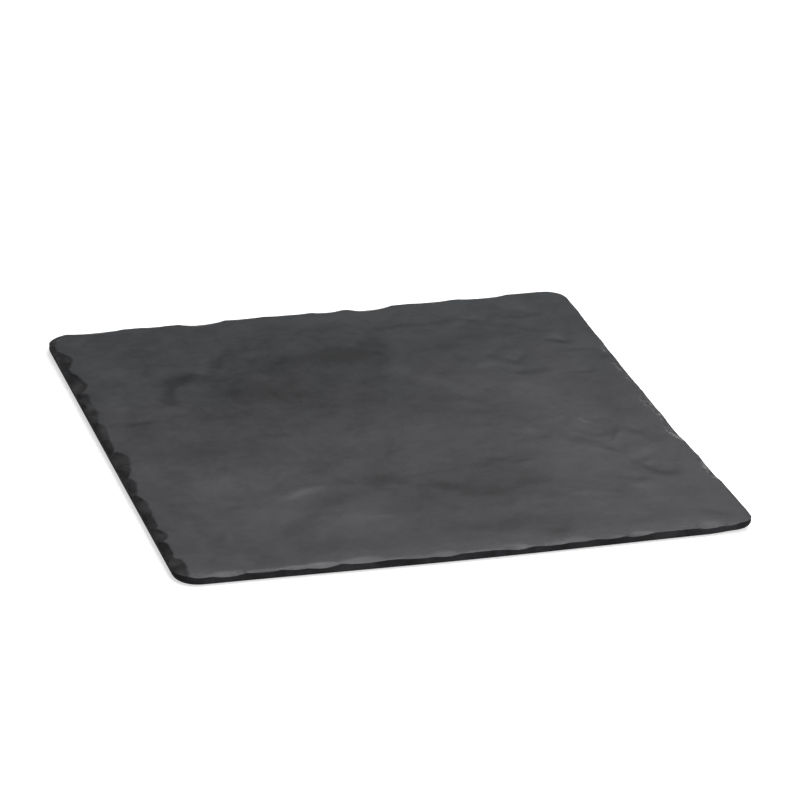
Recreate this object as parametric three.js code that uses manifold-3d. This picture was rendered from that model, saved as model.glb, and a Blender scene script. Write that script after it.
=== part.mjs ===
// Square display platter with a slate look: one moulded slab with a chipped edge and a riven top,
// standing on four soft feet that are bonded into round seats in its underside.
// Millimetres, +Z up, +X right, +Y back. The origin is the middle of the footprint, on the table.

import * as THREE from 'three';
import { mergeVertices } from 'three/addons/utils/BufferGeometryUtils.js';
import Module from 'manifold-3d';

const wasm = await Module();
wasm.setup();

// Slab
const SIDE = 305; // the square that the outline is trimmed from
const THICKNESS = 5.8; // from the underside to the middle level of the top
const RIM_ROUND = 2; // radius that turns the side wall under
const BEVEL_REACH = 0.9; // the narrowest worn edge between chips, inwards
const BEVEL_DROP = 0.4; // the same edge, down the wall

// Feet and what bonds them
const FOOT_DIAMETER = 12;
const FOOT_HEIGHT = 2;
const FOOT_ROUND = 0.5; // radius of the edge that meets the table
const FOOT_INSET = 30; // from the sides of the square to a foot's middle
const ADHESIVE_THICKNESS = 0.4;
const ADHESIVE_MARGIN = 0.4; // the disc stays this far inside the foot's edge
const SEAT_DEPTH = 1.2;
const SEAT_CLEARANCE = 0.3; // round the foot, inside its seat

// Corners of the trimmed outline, counter-clockwise from the front left: the quadrant, how far the
// corner lies inside the square in each direction, and its radius.
const CORNERS = [
  { name: 'front_left', x: -1, y: -1, trimX: 0, trimY: 3.7, radius: 12.5 },
  { name: 'front_right', x: 1, y: -1, trimX: 0, trimY: 0.6, radius: 9 },
  { name: 'back_right', x: 1, y: 1, trimX: 0.9, trimY: 0, radius: 11 },
  { name: 'back_left', x: -1, y: 1, trimX: 0, trimY: 2.7, radius: 12 },
];

// Sides, in the order of the corners that they start from. A side bows outwards by bow at its middle.
// Its chips are scoops out of the top edge: at is the deepest place, from the side's middle along +X
// or +Y; minus and plus are its lengths to either end; reach is how far it bites inwards; drop is how
// far it goes down, as a share of the flat part of the wall.
const SIDES = [
  {
    name: 'front',
    bow: 1.8,
    chips: [
      { at: -131, minus: 16, plus: 15, reach: 3.8, drop: 0.55 },
      { at: -106, minus: 16, plus: 14, reach: 1.8, drop: 0.4 },
      { at: -81, minus: 20, plus: 12, reach: 4.6, drop: 0.72 },
      { at: -57, minus: 16, plus: 17, reach: 4.6, drop: 0.44 },
      { at: -34, minus: 14, plus: 14, reach: 1.6, drop: 0.46 },
      { at: -16, minus: 12, plus: 16, reach: 4.2, drop: 0.54 },
      { at: 3, minus: 12, plus: 12, reach: 2, drop: 0.34 },
      { at: 20, minus: 11, plus: 13, reach: 4.4, drop: 0.64 },
      { at: 42, minus: 14, plus: 12, reach: 2, drop: 0.52 },
      { at: 56, minus: 14, plus: 20, reach: 4.8, drop: 0.5 },
      { at: 88, minus: 14, plus: 22, reach: 3.4, drop: 0.58 },
      { at: 113, minus: 12, plus: 10, reach: 1.6, drop: 0.3 },
      { at: 131, minus: 14, plus: 16, reach: 5.2, drop: 0.55 },
    ],
  },
  {
    name: 'right',
    bow: -1.8,
    chips: [
      { at: -116, minus: 20, plus: 14, reach: 2.4, drop: 0.14 },
      { at: -91, minus: 15, plus: 26, reach: 4.2, drop: 0.48 },
      { at: -60, minus: 16, plus: 18, reach: 3.2, drop: 0.46 },
      { at: -42, minus: 14, plus: 26, reach: 5.6, drop: 0.7 },
      { at: -6, minus: 22, plus: 26, reach: 6, drop: 0.38 },
      { at: 36, minus: 28, plus: 28, reach: 6, drop: 0.48 },
      { at: 67, minus: 15, plus: 15, reach: 4.6, drop: 0.26 },
      { at: 101, minus: 24, plus: 26, reach: 4, drop: 0.44 },
      { at: 130, minus: 12, plus: 12, reach: 3.4, drop: 0.24 },
    ],
  },
  {
    name: 'back',
    bow: -1,
    chips: [
      { at: -125, minus: 18, plus: 19, reach: 4, drop: 0.42 },
      { at: -90, minus: 9, plus: 8, reach: 3, drop: 0.14 },
      { at: -63, minus: 13, plus: 15, reach: 5, drop: 0.54 },
      { at: -38, minus: 14, plus: 14, reach: 3, drop: 0.16 },
      { at: -12, minus: 16, plus: 16, reach: 3.6, drop: 0.15 },
      { at: 11, minus: 10, plus: 9, reach: 3.4, drop: 0.26 },
      { at: 35, minus: 13, plus: 15, reach: 5, drop: 0.62 },
      { at: 74, minus: 16, plus: 14, reach: 3.6, drop: 0.17 },
      { at: 104, minus: 16, plus: 16, reach: 3.2, drop: 0.32 },
    ],
  },
  {
    name: 'left',
    bow: 0,
    chips: [
      { at: -136, minus: 16, plus: 13, reach: 7.8, drop: 0.7 },
      { at: -115, minus: 15, plus: 14, reach: 4.2, drop: 0.46 },
      { at: -102, minus: 9, plus: 10, reach: 6.4, drop: 0.62 },
      { at: -72, minus: 26, plus: 24, reach: 5.6, drop: 0.5 },
      { at: -44, minus: 16, plus: 14, reach: 4.9, drop: 0.46 },
      { at: -11, minus: 38, plus: 10, reach: 7.8, drop: 0.7 },
      { at: 12, minus: 18, plus: 20, reach: 4.8, drop: 0.42 },
      { at: 34, minus: 20, plus: 18, reach: 5.8, drop: 0.46 },
      { at: 59, minus: 22, plus: 18, reach: 5.9, drop: 0.5 },
      { at: 83, minus: 16, plus: 34, reach: 7.8, drop: 0.66 },
      { at: 120, minus: 12, plus: 10, reach: 7.4, drop: 0.62 },
      { at: 138, minus: 16, plus: 14, reach: 3.8, drop: 0.4 },
    ],
  },
];

// The riven top as long low waves: half height, length, heading in degrees from +X and phase.
const SWELLS = [
  { height: 0.16, length: 124, heading: 18, phase: 0.6 },
  { height: 0.13, length: 83, heading: 71, phase: 2.4 },
  { height: 0.09, length: 52, heading: 133, phase: 4.1 },
];

// Mesh steps: around a side, across the chipped band as shares of its width, and up the rounded rim.
const SIDE_STEPS = 64;
const BAND_SHARES = [0, 0.1, 0.22, 0.36, 0.52, 0.74];
const LEAST_INNER_ROUND = 1; // what is left of the smallest corner's radius inside the band
const RIM_STEPS = 3;
const ROUND_STEPS = 32;
const FOOT_EDGE_STEPS = 3;
const CUT_OVERRUN = 1; // a cutting tool passes the face that it enters by this much

// Levels and fits that follow from the sizes above
const STAND = FOOT_HEIGHT + ADHESIVE_THICKNESS - SEAT_DEPTH;
const TOP_LEVEL = STAND + THICKNESS;
const FLAT_WALL = THICKNESS - RIM_ROUND;
const SMALLEST_CORNER = Math.min(...CORNERS.map((corner) => corner.radius));
const BAND_WIDTH = SMALLEST_CORNER - LEAST_INNER_ROUND; // ends inside every corner's round

const MOULDED = new THREE.MeshStandardMaterial({ color: 0x3b3c3e, roughness: 0.55, metalness: 0 });
const SOFT_RUBBER = new THREE.MeshStandardMaterial({ color: 0x1d1d1e, roughness: 0.85, metalness: 0 });
const FOAM_TAPE = new THREE.MeshStandardMaterial({ color: 0x8c8b86, roughness: 0.7, metalness: 0 });

// The trimmed outline as lines and corner arcs, from the middle of the front left arc round again.
function outlinePath() {
  const points = CORNERS.map(
    (c) => new THREE.Vector2(c.x * (SIDE / 2 - c.trimX), c.y * (SIDE / 2 - c.trimY)),
  );
  const arcs = CORNERS.map((corner, i) => {
    const here = points[i];
    const before = points[(i + 3) % 4];
    const after = points[(i + 1) % 4];
    const arrive = Math.atan2(here.y - before.y, here.x - before.x);
    const leave = Math.atan2(after.y - here.y, after.x - here.x);
    const turn = THREE.MathUtils.euclideanModulo(leave - arrive, 2 * Math.PI);
    const toMiddle = arrive + turn / 2 + Math.PI / 2;
    const distance = corner.radius / Math.cos(turn / 2);
    return {
      x: here.x + distance * Math.cos(toMiddle),
      y: here.y + distance * Math.sin(toMiddle),
      radius: corner.radius,
      start: arrive - Math.PI / 2,
      middle: arrive + turn / 2 - Math.PI / 2,
      end: arrive + turn - Math.PI / 2,
    };
  });
  const path = new THREE.Path();
  arcs.forEach((arc, i) => {
    const next = arcs[(i + 1) % 4];
    path.absarc(arc.x, arc.y, arc.radius, arc.middle, arc.end);
    path.absarc(next.x, next.y, next.radius, next.start, next.middle);
  });
  return path;
}

// Points evenly spaced round the outline, each with its outward normal, its side and its place there.
function outlineSamples() {
  const path = outlinePath();
  const count = 4 * SIDE_STEPS;
  return Array.from({ length: count }, (_, k) => {
    const side = Math.floor(k / SIDE_STEPS);
    const tangent = path.getTangentAt(k / count);
    const normal = new THREE.Vector2(tangent.y, -tangent.x);
    const rise = Math.sin((Math.PI * (k % SIDE_STEPS)) / SIDE_STEPS) ** 2;
    const point = path.getPointAt(k / count).addScaledVector(normal, SIDES[side].bow * rise);
    const along = side % 2 ? point.y : point.x;
    return { point, normal, side, along };
  });
}

// How far the chips and the worn edge between them lie below the top, inset from the outline.
function edgeDepth(sample, inset) {
  let depth = Math.max(0, BEVEL_DROP * (1 - inset / BEVEL_REACH));
  for (const chip of SIDES[sample.side].chips) {
    const offset = sample.along - chip.at;
    const bend = offset / (offset < 0 ? chip.minus : chip.plus);
    const share = 1 - inset / chip.reach - bend * bend;
    depth = Math.max(depth, chip.drop * FLAT_WALL * share);
  }
  return depth;
}

// Height of the riven top before any chip.
function topHeight(x, y) {
  let height = TOP_LEVEL;
  for (const swell of SWELLS) {
    const heading = THREE.MathUtils.degToRad(swell.heading);
    const distance = x * Math.cos(heading) + y * Math.sin(heading);
    height += swell.height * Math.sin((2 * Math.PI * distance) / swell.length + swell.phase);
  }
  return height;
}

// The slab as one closed skin: rings of points from the underside round the rim, up the wall and in
// over the chipped band, then a grid of half as many points a side across the middle of the top.
function slabGeometry() {
  const samples = outlineSamples();
  const positions = [];
  const triangles = [];

  function addPoint(x, y, z) {
    positions.push(x, y, z);
    return positions.length / 3 - 1;
  }

  function ring(inset, heightAt) {
    return samples.map((sample) => {
      const x = sample.point.x - sample.normal.x * inset;
      const y = sample.point.y - sample.normal.y * inset;
      return addPoint(x, y, heightAt(sample, x, y));
    });
  }

  function strip(outer, inner) {
    outer.forEach((a, k) => {
      const b = outer[(k + 1) % outer.length];
      const c = inner[(k + 1) % inner.length];
      triangles.push(a, b, c, a, c, inner[k]);
    });
  }

  const rings = [];
  for (let step = RIM_STEPS; step >= 0; step--) {
    const turn = ((Math.PI / 2) * step) / RIM_STEPS;
    const height = STAND + RIM_ROUND * (1 - Math.sin(turn));
    rings.push(ring(RIM_ROUND * (1 - Math.cos(turn)), () => height));
  }
  for (const share of BAND_SHARES) {
    const inset = share * BAND_WIDTH;
    rings.push(ring(inset, (sample, x, y) => topHeight(x, y) - edgeDepth(sample, inset)));
  }
  rings.slice(1).forEach((inner, i) => strip(rings[i], inner));

  const underside = addPoint(0, 0, STAND);
  rings[0].forEach((a, k) => {
    triangles.push(underside, rings[0][(k + 1) % rings[0].length], a);
  });

  // Every second sample of the innermost ring bounds the grid.
  const lastRing = rings[rings.length - 1];
  const border = samples
    .filter((_, k) => k % 2 === 0)
    .map((sample) => {
      const place = sample.point.clone().addScaledVector(sample.normal, -BAND_WIDTH);
      return { place, index: addPoint(place.x, place.y, topHeight(place.x, place.y)) };
    });
  border.forEach(({ index }, k) => {
    const next = border[(k + 1) % border.length].index;
    const middle = lastRing[2 * k + 1];
    triangles.push(lastRing[2 * k], middle, index);
    triangles.push(middle, next, index);
    triangles.push(middle, lastRing[(2 * k + 2) % lastRing.length], next);
  });

  // A patch blended from its four borders fills the middle.
  const cells = SIDE_STEPS / 2;
  const front = (i) => border[i];
  const right = (j) => border[cells + j];
  const back = (i) => border[3 * cells - i];
  const left = (j) => border[(4 * cells - j) % border.length];
  function gridPoint(i, j) {
    if (j === 0) return front(i).index;
    if (j === cells) return back(i).index;
    if (i === 0) return left(j).index;
    if (i === cells) return right(j).index;
    const u = i / cells;
    const v = j / cells;
    const place = new THREE.Vector2()
      .addScaledVector(front(i).place, 1 - v)
      .addScaledVector(back(i).place, v)
      .addScaledVector(left(j).place, 1 - u)
      .addScaledVector(right(j).place, u)
      .addScaledVector(front(0).place, -(1 - u) * (1 - v))
      .addScaledVector(front(cells).place, -u * (1 - v))
      .addScaledVector(back(0).place, -(1 - u) * v)
      .addScaledVector(back(cells).place, -u * v);
    return addPoint(place.x, place.y, topHeight(place.x, place.y));
  }
  const grid = Array.from({ length: cells + 1 }, (_, j) =>
    Array.from({ length: cells + 1 }, (_, i) => gridPoint(i, j)),
  );
  for (let j = 0; j < cells; j++) {
    for (let i = 0; i < cells; i++) {
      const a = grid[j][i];
      const c = grid[j + 1][i + 1];
      triangles.push(a, grid[j][i + 1], c, a, c, grid[j + 1][i]);
    }
  }

  const geometry = new THREE.BufferGeometry();
  geometry.setAttribute('position', new THREE.Float32BufferAttribute(positions, 3));
  geometry.setIndex(triangles);
  return geometry;
}

function toSolid(geometry) {
  const bare = geometry.clone();
  bare.deleteAttribute('normal');
  bare.deleteAttribute('uv');
  const merged = mergeVertices(bare);
  const vertProperties = merged.getAttribute('position').array;
  const triVerts = new Uint32Array(merged.index.array);
  return new wasm.Manifold(new wasm.Mesh({ numProp: 3, vertProperties, triVerts }));
}

function toGeometry(solid) {
  const { vertProperties, triVerts } = solid.getMesh();
  const geometry = new THREE.BufferGeometry();
  geometry.setAttribute('position', new THREE.BufferAttribute(vertProperties, 3));
  geometry.setIndex(new THREE.BufferAttribute(triVerts, 1));
  geometry.computeVertexNormals();
  return geometry;
}

// An upright disc whose lower face is at z = 0.
function discGeometry(diameter, height) {
  const disc = new THREE.CylinderGeometry(diameter / 2, diameter / 2, height, ROUND_STEPS);
  return disc.rotateX(Math.PI / 2).translate(0, 0, height / 2);
}

// A foot: a flat disc whose lower edge is rounded.
function footGeometry() {
  const radius = FOOT_DIAMETER / 2;
  const profile = [new THREE.Vector2(0, 0)];
  for (let step = 0; step <= FOOT_EDGE_STEPS; step++) {
    const turn = ((Math.PI / 2) * step) / FOOT_EDGE_STEPS;
    const across = radius - FOOT_ROUND * (1 - Math.sin(turn));
    profile.push(new THREE.Vector2(across, FOOT_ROUND * (1 - Math.cos(turn))));
  }
  profile.push(new THREE.Vector2(radius, FOOT_HEIGHT));
  profile.push(new THREE.Vector2(0, FOOT_HEIGHT));
  return new THREE.LatheGeometry(profile, ROUND_STEPS).rotateX(Math.PI / 2);
}

// Middle of the foot in a corner's quadrant, on the table.
function footPlace(corner) {
  const reach = SIDE / 2 - FOOT_INSET;
  return new THREE.Vector3(corner.x * reach, corner.y * reach, 0);
}

function slabWithSeats() {
  let solid = toSolid(slabGeometry());
  for (const corner of CORNERS) {
    const seat = discGeometry(FOOT_DIAMETER + 2 * SEAT_CLEARANCE, SEAT_DEPTH + CUT_OVERRUN);
    const place = footPlace(corner);
    seat.translate(place.x, place.y, STAND - CUT_OVERRUN);
    solid = solid.subtract(toSolid(seat));
  }
  return toGeometry(solid);
}

function addMesh(parent, name, geometry, material, place) {
  const mesh = new THREE.Mesh(geometry, material);
  mesh.name = name;
  mesh.position.copy(place);
  parent.add(mesh);
}

const platter = new THREE.Group();
addMesh(platter, 'slab', slabWithSeats(), MOULDED, new THREE.Vector3());
for (const corner of CORNERS) {
  const place = footPlace(corner);
  addMesh(platter, `${corner.name}_foot`, footGeometry(), SOFT_RUBBER, place);
  const disc = discGeometry(FOOT_DIAMETER - 2 * ADHESIVE_MARGIN, ADHESIVE_THICKNESS);
  const onFoot = place.clone().setZ(FOOT_HEIGHT);
  addMesh(platter, `${corner.name}_adhesive_disc`, disc, FOAM_TAPE, onFoot);
}

export default platter;
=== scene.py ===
import math

import bpy
import numpy as np
from mathutils import Matrix, Vector
from mathutils.geometry import delaunay_2d_cdt


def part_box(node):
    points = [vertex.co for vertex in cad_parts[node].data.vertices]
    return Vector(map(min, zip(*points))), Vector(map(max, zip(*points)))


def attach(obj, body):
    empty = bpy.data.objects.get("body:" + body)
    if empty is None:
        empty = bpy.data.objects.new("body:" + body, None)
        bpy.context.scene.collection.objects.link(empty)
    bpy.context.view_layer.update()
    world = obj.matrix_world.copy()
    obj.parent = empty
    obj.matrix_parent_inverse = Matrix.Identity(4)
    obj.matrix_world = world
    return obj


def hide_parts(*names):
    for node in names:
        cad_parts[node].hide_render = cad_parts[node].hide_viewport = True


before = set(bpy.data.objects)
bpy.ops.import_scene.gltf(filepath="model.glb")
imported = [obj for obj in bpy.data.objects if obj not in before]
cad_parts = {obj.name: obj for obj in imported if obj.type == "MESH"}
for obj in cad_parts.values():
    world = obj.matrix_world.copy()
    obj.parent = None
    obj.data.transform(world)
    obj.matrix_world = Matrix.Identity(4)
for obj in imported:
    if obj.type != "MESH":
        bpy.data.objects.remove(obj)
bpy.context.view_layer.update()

# A square display platter with a slate look: the slab's fine skin, its feet and what bonds them.
# Shapes are worked out in millimetres, in the frame's axes: +X right, +Y back, +Z up.
MM = 0.001
BODY = "root"


def node_box(name):
    """The lowest and highest corners of a CAD node, in millimetres."""
    return tuple(np.array(corner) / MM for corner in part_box(name))


# The slab: what the frame gives, and the sizes of its CAD solid
CORNER_NAMES = ("front_left", "front_right", "back_right", "back_left")
SLAB_LOW, SLAB_HIGH = node_box("slab")
THICKNESS = 5.8
RIM_ROUND = 2.0
SEAT_CLEARANCE = 0.3
STAND = SLAB_LOW[2]
TOP_LEVEL = STAND + THICKNESS
WALL_FOOT = STAND + RIM_ROUND
FLAT_WALL = THICKNESS - RIM_ROUND
LEVEL_TOLERANCE = 0.01
HIGHEST = SLAB_HIGH[2] - LEVEL_TOLERANCE

# Mesh steps: points a side, points between two of the CAD outline, rings up the rim and the wall, and
# rings across the chipped band, which lie closer together at the edge.
SIDE_STEPS = 512
SPLINE_STEPS = 24
TANGENT_REACH = 0.6  # the outline's heading is taken over this length either way
RIM_STEPS = 6
WALL_SHARES = (0.2, 0.4, 0.6, 0.8, 0.97)
BAND_WIDTH = 9.6
BAND_STEPS = 23
BAND_GROWTH = 1.5
SEAT_STEPS = 64
FLAT_TOLERANCE = 1e-6  # points of the flat underside that are closer count as one

# The sides in the order in which the outline runs, and how the edge of each is worn, with the painted shade
# of its broken faces and wall and its painted glints. A power under 1 makes a chip steepest at its inner
# lip, and one near 1 makes its ends pointed. The bevel is the narrow worn edge between chips.
SIDES = ("front", "right", "back", "left")
EDGE_WEAR_AND_SHADE = {
    "lip_power": (1.50, 1.10, 1.00, 0.62),
    "end_power": (2.4, 2.4, 2.4, 2.2),
    "meeting": (4, 5, 6, 12),  # how sharply chips meet
    "uneven": (0.14, 0.12, 0.08, 0.22),  # of their broken faces, as are the next two: their painted shade and their gloss
    "painted_shade": (0.35, 0.35, 0.35, 1.00),
    "shine": (0.20, 0.10, 0.10, -0.18),
    "bevel_reach": (1.0, 1.1, 0.9, 2.6),
    "bevel_drop": (0.55, 0.24, 0.28, 0.85),
    "lower_round": (1.2, 1.5, 2.0, 2.3),  # of the lower rim
    # painted glints on the lips of the chips, strongest along the right side
    "glinting": (0.25, 1.00, 0.50, 0.15),
    # painted shade on the wall, darkest on the left side, which faces away from the light
    "wall_painted_shade": (0, 0, 0, -11),
}
CORNER_BLEND = 20  # outline points either way over which one side's wear turns into the next
NORMAL_EASE = 30  # and over which the inner end of the chipped band turns a corner

# Chips out of the top edge, side by side: the deepest place along X or Y, the lengths to either end,
# how far each bites inwards, its drop as a share of the flat part of the wall, and the painted shade of its
# face, under 0 darker and over 0 lighter, at the outer edge and at the inner lip, where they are not 0.
CHIPS = {
    "front": [
        (-140, 9, 9, 2.8, 0.30, -3, -3), (-126, 14, 11, 3.5, 0.50, -3, -3),
        (-108, 13, 12, 0.8, 0.34, -2, -2), (-91, 11, 12, 2.2, 0.41), (-78, 12, 11, 2.9, 0.56, 8, 8),
        (-57, 16, 15, 5.0, 0.37, 6, 6), (-28, 14, 13, 1.3, 0.31), (-14, 11, 9, 4.2, 0.38, 4, 4),
        (4, 9, 10, 1.2, 0.06), (24, 11, 9, 4.2, 0.40, 3, 3), (44, 13, 10, 3.0, 0.31),
        (55, 10, 12, 6.0, 0.21, 3, 3), (74, 10, 11, 1.2, 0.33, 10, 10), (88, 10, 11, 2.6, 0.45, 8, 8),
        (128, 9, 10, 6.4, 0.38), (138, 6, 6, 1.4, 0.34, -4, -4),
    ],
    "right": [
        (-146, 6, 9, 2.2, 0.14), (-116, 20, 14, 2.4, 0.08), (-91, 15, 26, 4.2, 0.33),
        (-60, 16, 18, 3.2, 0.30), (-42, 14, 26, 5.6, 0.49), (-6, 22, 26, 6.0, 0.24),
        (36, 28, 28, 6.0, 0.32), (67, 15, 15, 4.6, 0.16), (101, 24, 26, 4.0, 0.28),
        (130, 12, 12, 3.4, 0.12),
    ],
    "back": [
        (-125, 18, 19, 4.0, 0.32), (-90, 9, 8, 3.0, 0.14), (-63, 13, 15, 5.0, 0.45),
        (-38, 14, 14, 3.0, 0.16), (-12, 16, 16, 3.6, 0.15), (11, 10, 9, 3.4, 0.26),
        (35, 13, 15, 5.0, 0.53), (74, 16, 14, 3.6, 0.17), (104, 16, 16, 3.2, 0.32),
    ],
    "left": [
        (-137, 13, 13, 8.5, 0.46, -6, -5), (-113, 32, 7, 4.3, 0.46, -15, -3),
        (-101, 9, 8, 6.2, 0.50, -4, 12), (-84, 14, 16, 4.7, 0.47, -9, -2),
        (-68, 30, 16, 5.3, 0.45, -9, 4), (-41, 17, 9, 4.9, 0.43, -4, 11),
        (-9, 31, 8, 8.2, 0.60, -5, 2), (6, 12, 18, 4.2, 0.43, -18, 0),
        (27, 26, 8, 5.4, 0.42, -8, 8), (45, 16, 24, 5.0, 0.42, -2, 13),
        (58, 7, 7, 3.8, 0.50, -14, -4), (67, 26, 8, 5.6, 0.44, -6, 14),
        (82, 12, 20, 8.0, 0.58, 4, -5), (99, 9, 11, 3.2, 0.50, 0, 10),
        (117, 16, 11, 7.7, 0.52, 6, -3), (144, 12, 14, 5.5, 0.41, 2, 8),
    ],
}
FACET_DEPTH = 0.45  # below this depth an edge is all broken face in the material

# Small nicks between the chips: how many on each side, their seed, and the ranges of their lengths, of
# the share of a length before the deepest place, of their reaches and of their drops.
NICKS = {"front": 3, "right": 6, "back": 0, "left": 6}
NICK_SEED = 7
NICK_LENGTHS = (2.5, 7.0)
NICK_LEANS = (0.35, 0.65)
NICK_REACHES = (0.8, 2.4)
NICK_DROPS = (0.25, 0.9)

# Unevenness is noise, given as rows of half height, bump length and seed. A stretch says how much faster
# it changes inwards than along the edge, or how much it changes up the wall.
NOISE_CELLS = 64  # the noise repeats after this many bumps
CHIP_SWAY = [(1.2, 9, 31), (0.3, 3, 33)]  # how far a chip's outline sways along the edge
CHIP_SWAY_STRETCH = 2
CHIP_REACH = [(0.14, 7, 32), (0.04, 2.5, 34)]  # as a share of a chip's reach
BEVEL_SIZE = [(0.30, 11, 35)]  # as a share of the bevel's reach and drop
FACE_ROUGHNESS = [(1, 7, 36), (0.35, 2.4, 37)]  # times how uneven a side's broken faces are
FACE_STRETCH = 0.6
ROUGH_DEPTH = 0.6  # a broken face has its full roughness below this depth
WALL_DENT = 0.10
WALL_DENTS = [(WALL_DENT, 7, 41)]
WALL_STRETCH = 9.0

# Painted glints are pale marks that lie where this speckle and how much a place glints come over a
# threshold. They start where the edge is worn a little and fade out on the way down a chip.
GLINT_SPECKLE = [(1, 5, 51), (0.8, 2.2, 52)]
GLINT_STRETCH = 2.5
GLINT_SPREAD = 0.6
GLINT_THRESHOLD = 0.40
GLINT_SOFTNESS = 0.45
GLINT_START = 0.08
GLINT_END = 1.56
GLINT_FADE = 0.6
# How much the edge glints all round, and how much more along the right side: place, half length and share.
GLINTS_ALL_ROUND = 0.15
RIGHT_GLINTS = [
    (-101, 4, 1.0), (-85, 7, 1.4), (-46, 9, 1.3), (-22, 6, 0.9), (-5, 7, 0.7), (26, 5, 0.2),
    (42, 8, 0.6), (70, 5, 0.6),
]

# The lower rim is undercut at the front right corner: how far in and up, and the lengths that it takes
# along the front and along the right side.
UNDERCUT_IN = 3.9
UNDERCUT_UP = 2.25
UNDERCUT_FRONT = 24.0
UNDERCUT_RIGHT = 18.0
UNDERCUT_BEVEL_LOSS = 0.7  # the bevel loses this share of its drop above the undercut
LEAST_WALL = 0.6  # and at least this much wall is left there

# The same corner is a little fuller than the CAD outline: by how much, and how far along either side.
CORNER_FILL = 0.5
CORNER_FILL_REACH = 13.0

# The long low waves of the top, as in the CAD solid: half height, length, heading and phase.
SWELLS = [(0.16, 124, 18, 0.6), (0.13, 83, 71, 2.4), (0.09, 52, 133, 4.1)]

# Uneven ground all over the top, and what bends the outlines of its forms sideways. Ledges and patches
# are bent by a share of that.
GROUND = [(0.28, 60, 11), (0.22, 29, 12), (0.10, 14, 13), (0.035, 7, 14)]
WARP_X = [(4.5, 19, 21), (1.5, 7, 25)]
WARP_Y = [(4.5, 19, 22), (1.5, 7, 26)]
WARP_SHARE = 0.5
RELIEF_GAIN = 1.4  # the forms below, and the ground, are this much higher than their rows say

# Towards the middle of the top the long waves lose a share, the ground grows to its full height and the
# level sags. The crests are eased down softly to stay under the CAD solid's highest point.
INLAND = 24.0  # the middle begins this far from the edge
SWELL_LOSS = 0.6
EDGE_GROUND = 0.3  # share of the ground's height at the edge
SAG = 0.30
CREST_SOFTNESS = 0.06

# The top rolls down towards the front edge, except near the right corner.
FRONT_ROLL = 0.7
FRONT_ROLL_REACH = 14.0
FRONT_ROLL_END = 150.0
FRONT_ROLL_FADE = 30.0

# Ledges where a layer has split off: the line of the lip, with lower ground on its right hand, the step
# down and the lip's width.
LEDGES = [
    ([(-76, 79), (-85, 84), (-92, 82), (-98, 74), (-103, 61), (-106, 47)], 0.85, 11.0),
    ([(-66, 68), (-70, 74), (-80, 76)], 0.25, 5.0),
    ([(88, 121), (80, 126), (60, 123), (38, 123)], 0.18, 6.5),
    ([(107, 108), (97, 115), (88, 121)], 0.25, 6.5),
    ([(129, 122), (108, 122)], 0.30, 6.5),
    ([(97, 60), (88, 66), (79, 73)], 0.50, 7.0),
    ([(132, 82), (126, 84), (121, 87)], 0.32, 5.0),
    ([(147, 57), (144, 67), (138, 71), (128, 71)], 0.60, 6.5),
    ([(109, 49), (89, 49)], 0.45, 7.0),
    ([(132, 42), (119, 42)], 0.45, 6.0),
    ([(135, -49), (131, -39), (125, -32), (118, -31), (110, -37)], 0.62, 11.0),
    ([(119, -51), (113, -58), (106, -52), (104, -44), (98, -40), (88, -40)], 0.45, 9.0),
    ([(134, -89), (126, -87), (121, -79), (114, -69)], 0.62, 9.5),
    ([(113, -91), (104, -97), (94, -104)], 0.20, 6.5),
    ([(82, -33), (59, -36)], 0.20, 6.5),
]
LEDGE_RAMP = 18.0  # the ground climbs back over this length
LEDGE_FADE = 9.0  # a lip sinks into the ground over this length at either end
LEDGE_HEIGHT = [(0.4, 19, 24)]  # unevenness of the step, as a share of it
LEDGE_WIDTH = [(0.45, 13, 23)]  # and of the lip's width
LEDGE_SHADE = -5.0  # painted shade: a lip is darker, the more for each millimetre that it drops
LEDGE_SHADE_SHARPNESS = 3

# Soft hollows and rises: place, half length, half width, heading, height and tone (under 0 is darker).
# Their tone is painted shade in the hollows and painted light on the rises.
PATCHES = [
    (-12, 91, 46, 11, 6, -0.20, -8), (-62, 54, 24, 10, -12, -0.08, -8), (8, 93, 20, 13, 0, -0.12, -5),
    (-128, 28, 10, 3, 0, -0.10, -9), (104, 104, 9, 4, 0, -0.10, -4), (-90, -12, 34, 8, -4, -0.12, -3.5),
    (-5, -88, 12, 6, 0, -0.10, -3), (-65, -130, 22, 8, 0, -0.12, -6), (16, -127, 38, 9, 0, -0.10, -6),
    (50, -139, 10, 6, 30, -0.25, -8), (126, 6, 12, 15, 0, -0.10, -6), (45, -56, 14, 9, 0, -0.12, -3),
    (-56, -81, 15, 6, 28, -0.30, -5), (-80, -104, 14, 6, 52, -0.20, -2.5),
    (30, 12, 22, 12, 0, -0.10, -2), (82, 100, 12, 7, 0, -0.12, -7), (20, 106, 8, 6, 30, -0.10, -3),
    (136, -137, 9, 4, -25, -0.15, -6), (-71, 56, 8, 8, 0, -0.06, -3), (-104, -80, 8, 3, 18, -0.12, -4),
    (-67, -71, 12, 3.4, 18, 0.35, 12), (-92, -52, 30, 13, 0, 0.10, 5), (-105, -86, 16, 20, 0, 0.16, 6),
    (-45, -105, 20, 8, 5, 0.14, 6), (84, -62, 22, 15, 0, 0.12, 5), (26, 68, 8, 8, 0, 0.14, 6),
    (-115, 15, 10, 5, 0, 0.10, 3), (35, 91, 10, 12, 0, 0.14, 3), (127, 93, 5, 5, 0, 0.14, 4),
    (122, 135, 7, 6, 0, 0.18, 4), (0, -10, 42, 16, 15, 0.10, 2), (92, 30, 18, 14, 0, 0.10, 3.5),
    (-128, 95, 12, 12, 0, 0.10, 2.5), (45, -103, 12, 6, 0, 0.10, 3), (112, -101, 9, 8, 0, 0.16, 3),
    (-140, -30, 8, 20, 0, 0.10, 2), (62, 55, 16, 16, 0, 0.10, 1.5), (42, 48, 26, 7, -45, 0.16, 4),
    (-34, -104, 8, 3, 0, 0.14, 4), (0, -152, 18, 10, 0, 0.6, 0),
]
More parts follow.
